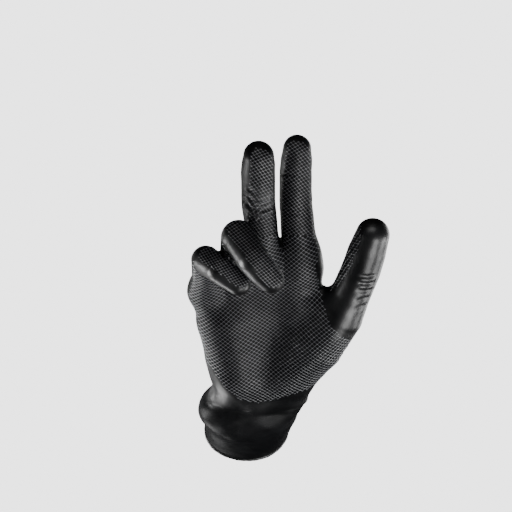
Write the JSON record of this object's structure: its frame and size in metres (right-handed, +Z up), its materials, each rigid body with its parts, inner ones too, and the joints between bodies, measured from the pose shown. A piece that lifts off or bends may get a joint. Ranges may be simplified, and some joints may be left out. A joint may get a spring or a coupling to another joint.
{
  "type": "nitrile exam glove",
  "caption": "Right-hand nitrile exam glove in a worn, gripping form, with a textured grip palm, smooth cuff and rolled bead.",
  "frame": {"origin": "centre of the cuff's mouth, where the wrist goes in", "axes": "+Z up along the standing fingers, -Y is the palm's side, +X is the thumb's side"},
  "size_m": [0.1214, 0.1656, 0.2046],
  "materials": {
    "nitrile": "satin black nitrile film with a raised grip net on the palm and fingers"
  },
  "bodies": {
    "root": {"glove": "nitrile"}
  },
  "joints": []
}
